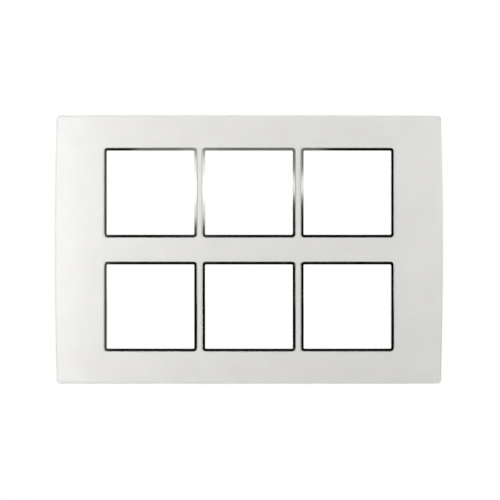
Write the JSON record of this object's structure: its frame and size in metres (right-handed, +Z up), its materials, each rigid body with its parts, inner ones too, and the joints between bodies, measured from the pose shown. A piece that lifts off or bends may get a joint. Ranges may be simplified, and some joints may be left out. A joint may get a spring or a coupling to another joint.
{
  "type": "modular switch cover plate",
  "caption": "Wide crowned wall plate in satin pearl plastic, with square see-through windows framed in bright chrome for switch modules.",
  "frame": {"origin": "middle of the plate on the wall plane, level with the skirt's back edge", "axes": "+X to the right seen from the front, +Y into the wall, +Z up; the face looks along -Y"},
  "size_m": [0.21, 0.0114, 0.145],
  "materials": {
    "pearl_plastic": "satin, faintly pearly",
    "chrome_plating": "polished"
  },
  "bodies": {
    "root": {"cover_plate": "pearl_plastic", "rim_top_left": "chrome_plating", "rim_top_middle": "chrome_plating", "rim_top_right": "chrome_plating", "rim_bottom_left": "chrome_plating", "rim_bottom_middle": "chrome_plating", "rim_bottom_right": "chrome_plating"}
  },
  "joints": []
}
